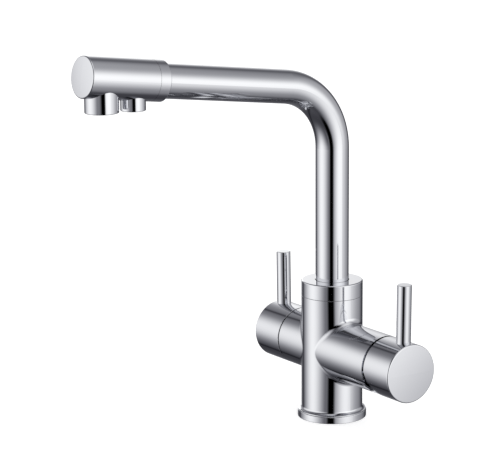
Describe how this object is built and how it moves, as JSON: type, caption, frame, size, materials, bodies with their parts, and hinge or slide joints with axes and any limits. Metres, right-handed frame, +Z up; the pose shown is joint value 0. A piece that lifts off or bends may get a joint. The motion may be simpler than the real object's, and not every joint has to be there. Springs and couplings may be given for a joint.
{
  "type": "three way kitchen mixer tap",
  "caption": "Deck-mounted kitchen tap: swivel spout with separate mixed and filtered water outlets, single-lever mixer on one side, filtered water lever on the other.",
  "frame": {"origin": "centre of the base's underside, on the worktop", "axes": "+Z up along the column, +X out along the mixer barrel (the user's right), -X out along the filtered water barrel, -Y along the spout towards the user"},
  "size_m": [0.172, 0.2517, 0.3055],
  "materials": {
    "polished_chrome": "polished",
    "plain_brass": "machined",
    "black_rubber": "matt",
    "white_acetal": "moulded",
    "grey_ceramic": "lapped",
    "stainless_steel": "turned",
    "hose_plastic": "smooth",
    "outlet_plastic": "smooth"
  },
  "bodies": {
    "tap_body": {"base_gasket": "black_rubber", "base_ring": "polished_chrome", "body_casting": "polished_chrome", "inlet_block": "plain_brass", "collar_ring": "polished_chrome", "collar_screw": "stainless_steel", "spout_dust_seal": "black_rubber", "spout_upper_bush": "white_acetal", "spout_lower_bush": "white_acetal", "filtered_water_stem": "plain_brass", "stem_oring": "black_rubber", "mixer_cartridge_base": "white_acetal", "mixer_port_seals": "black_rubber", "mixer_cartridge_body": "white_acetal", "mixer_fixed_disc": "grey_ceramic", "mixer_retaining_nut": "plain_brass", "mixer_bonnet": "polished_chrome", "filter_valve_body": "plain_brass", "filter_valve_seal": "black_rubber", "filter_fixed_disc": "grey_ceramic", "filter_bonnet": "plain_brass"},
    "mixer_turning": {"mixer_rotor": "white_acetal", "mixer_pivot_pin": "stainless_steel"},
    "mixer_handle": {"mixer_stem": "stainless_steel", "mixer_handle_cap": "polished_chrome", "mixer_lever_pin": "polished_chrome", "mixer_grub_screw": "stainless_steel", "mixer_hole_plug": "polished_chrome"},
    "mixer_slider": {"mixer_disc_carrier": "white_acetal", "mixer_moving_disc": "grey_ceramic"},
    "filter_handle": {"filter_moving_disc": "grey_ceramic", "filter_spindle": "plain_brass", "filter_spindle_oring": "black_rubber", "filter_handle_cap": "polished_chrome", "filter_lever_pin": "polished_chrome", "filter_grub_screw": "stainless_steel", "filter_hole_plug": "polished_chrome"},
    "spout": {"swivel_insert": "plain_brass", "swivel_orings": "black_rubber", "spout_tube": "polished_chrome", "spout_coupling": "polished_chrome", "coupling_oring": "black_rubber", "spout_head": "polished_chrome", "filtered_water_hose": "hose_plastic", "filter_outlet_elbow": "plain_brass", "elbow_oring": "black_rubber", "aerator_housing": "polished_chrome", "aerator_insert": "outlet_plastic", "aerator_washer": "black_rubber", "filter_outlet_housing": "polished_chrome", "filter_outlet_insert": "outlet_plastic", "filter_outlet_washer": "black_rubber"}
  },
  "joints": [
    {"name": "spout_swivel", "type": "hinge", "parent": "tap_body", "child": "spout", "pos_m": [0, 0, 0.09], "axis": [0, 0, 1], "continuous": true},
    {"name": "mixer_turn", "type": "hinge", "parent": "tap_body", "child": "mixer_turning", "pos_m": [0.0677, 0, 0.0558], "axis": [1, 0, 0], "range_deg": [-45, 45]},
    {"name": "mixer_tilt", "type": "hinge", "parent": "mixer_turning", "child": "mixer_handle", "pos_m": [0.0677, 0, 0.0558], "axis": [0, 1, 0], "range_deg": [0, 20]},
    {"name": "mixer_disc_slide", "type": "slide", "parent": "mixer_turning", "child": "mixer_slider", "axis": [0, 0, 1], "range_m": [0, 0.00657]},
    {"name": "filter_turn", "type": "hinge", "parent": "tap_body", "child": "filter_handle", "pos_m": [-0.05, 0, 0.0558], "axis": [1, 0, 0], "range_deg": [0, 90]}
  ],
  "couplings": [
    {"joint": "mixer_disc_slide", "follows": "mixer_tilt", "m_per_rad": 0.01881}
  ]
}
